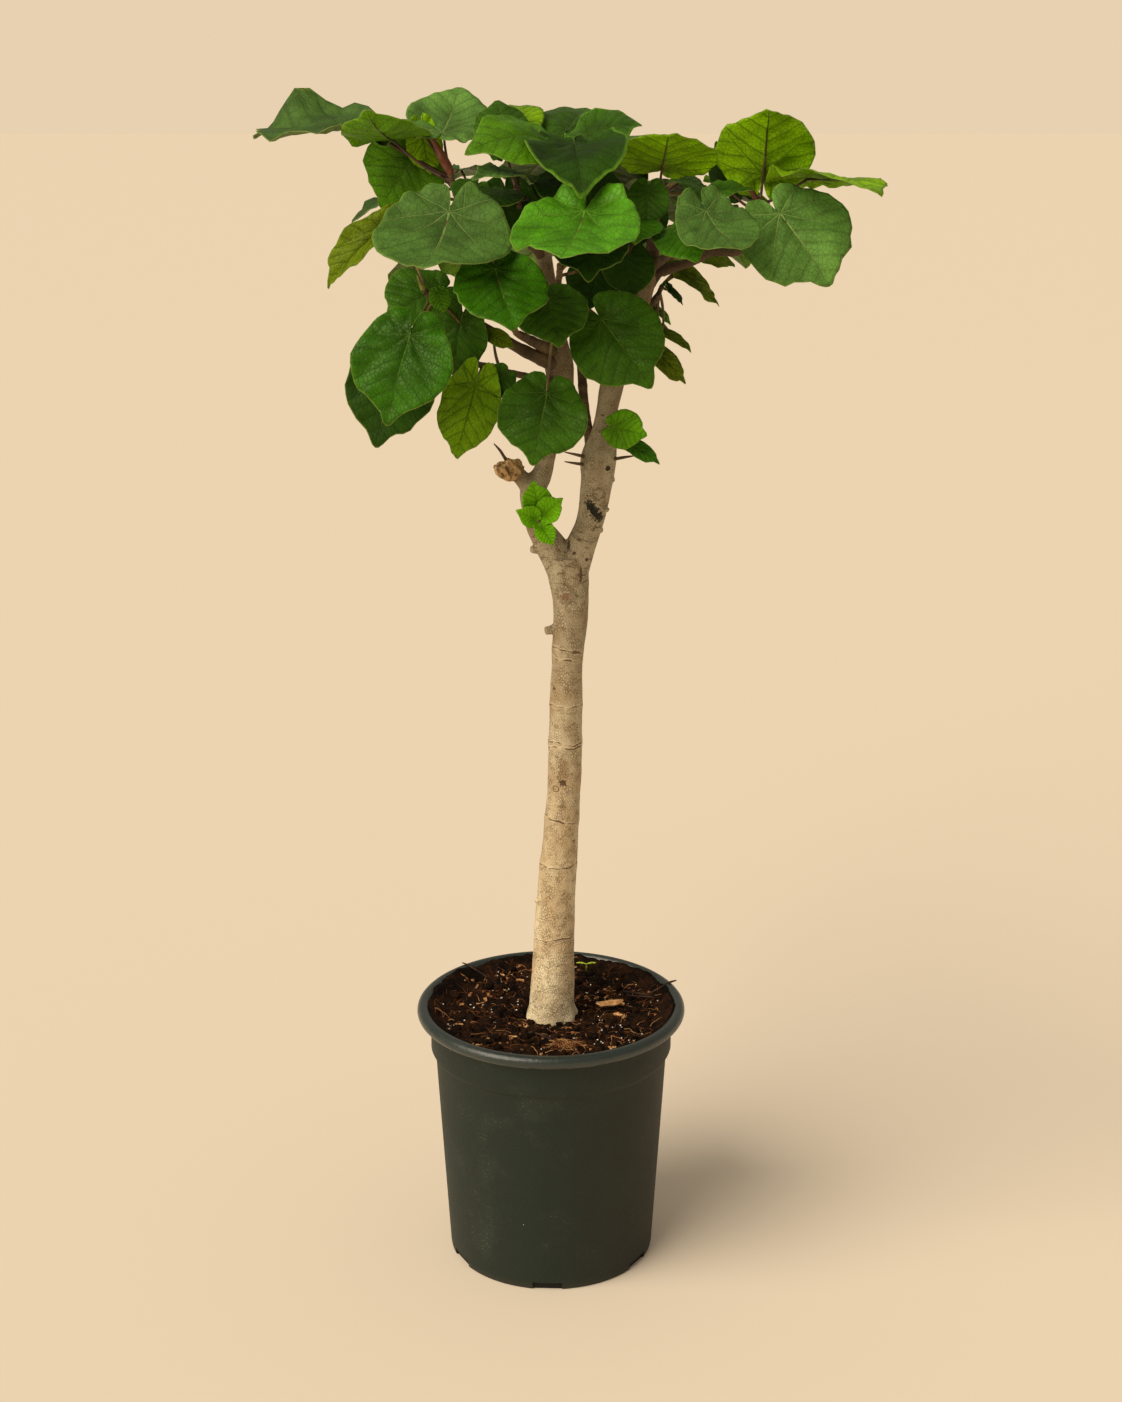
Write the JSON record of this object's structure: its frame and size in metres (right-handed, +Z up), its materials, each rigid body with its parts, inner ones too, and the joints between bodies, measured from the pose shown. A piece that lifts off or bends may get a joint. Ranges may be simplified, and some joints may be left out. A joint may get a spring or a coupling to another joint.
{
  "type": "potted umbrella fig",
  "caption": "Umbrella fig grown as a standard tree: bare forked trunk under a broad crown of heart-shaped leaves, in a dark green nursery pot of soil.",
  "frame": {"origin": "centre of the pot's base on the floor", "axes": "+Z up along the trunk, -Y towards the front of the plant, +X to its right as seen from the front"},
  "size_m": [0.6917, 0.4686, 1.3743],
  "materials": {
    "pot_plastic": "matt dark green moulded plastic, dusty and lightly scuffed",
    "potting_soil": "moist peat and coir with perlite grains",
    "bark": "smooth pale grey-brown bark with fine specks and scars",
    "leaf": "leathery green leaf, satin on top"
  },
  "bodies": {
    "root": {"pot": "pot_plastic", "soil": "potting_soil", "tree": "bark", "shoot_left_top": "leaf", "shoot_left_low": "leaf", "shoot_left_front": "leaf", "shoot_left_thin": "leaf", "shoot_centre_low": "leaf", "shoot_crown_left": "leaf", "shoot_crown_centre": "leaf", "shoot_right_top": "leaf", "shoot_right_front": "leaf", "shoot_right_out": "leaf", "shoot_right_low": "leaf", "shoot_right_small": "leaf", "shoot_fork": "leaf", "shoot_back_left": "leaf", "shoot_back_left_low": "leaf", "shoot_back_centre": "leaf", "shoot_back_top": "leaf", "shoot_back_right": "leaf", "shoot_back_right_low": "leaf"}
  },
  "joints": []
}
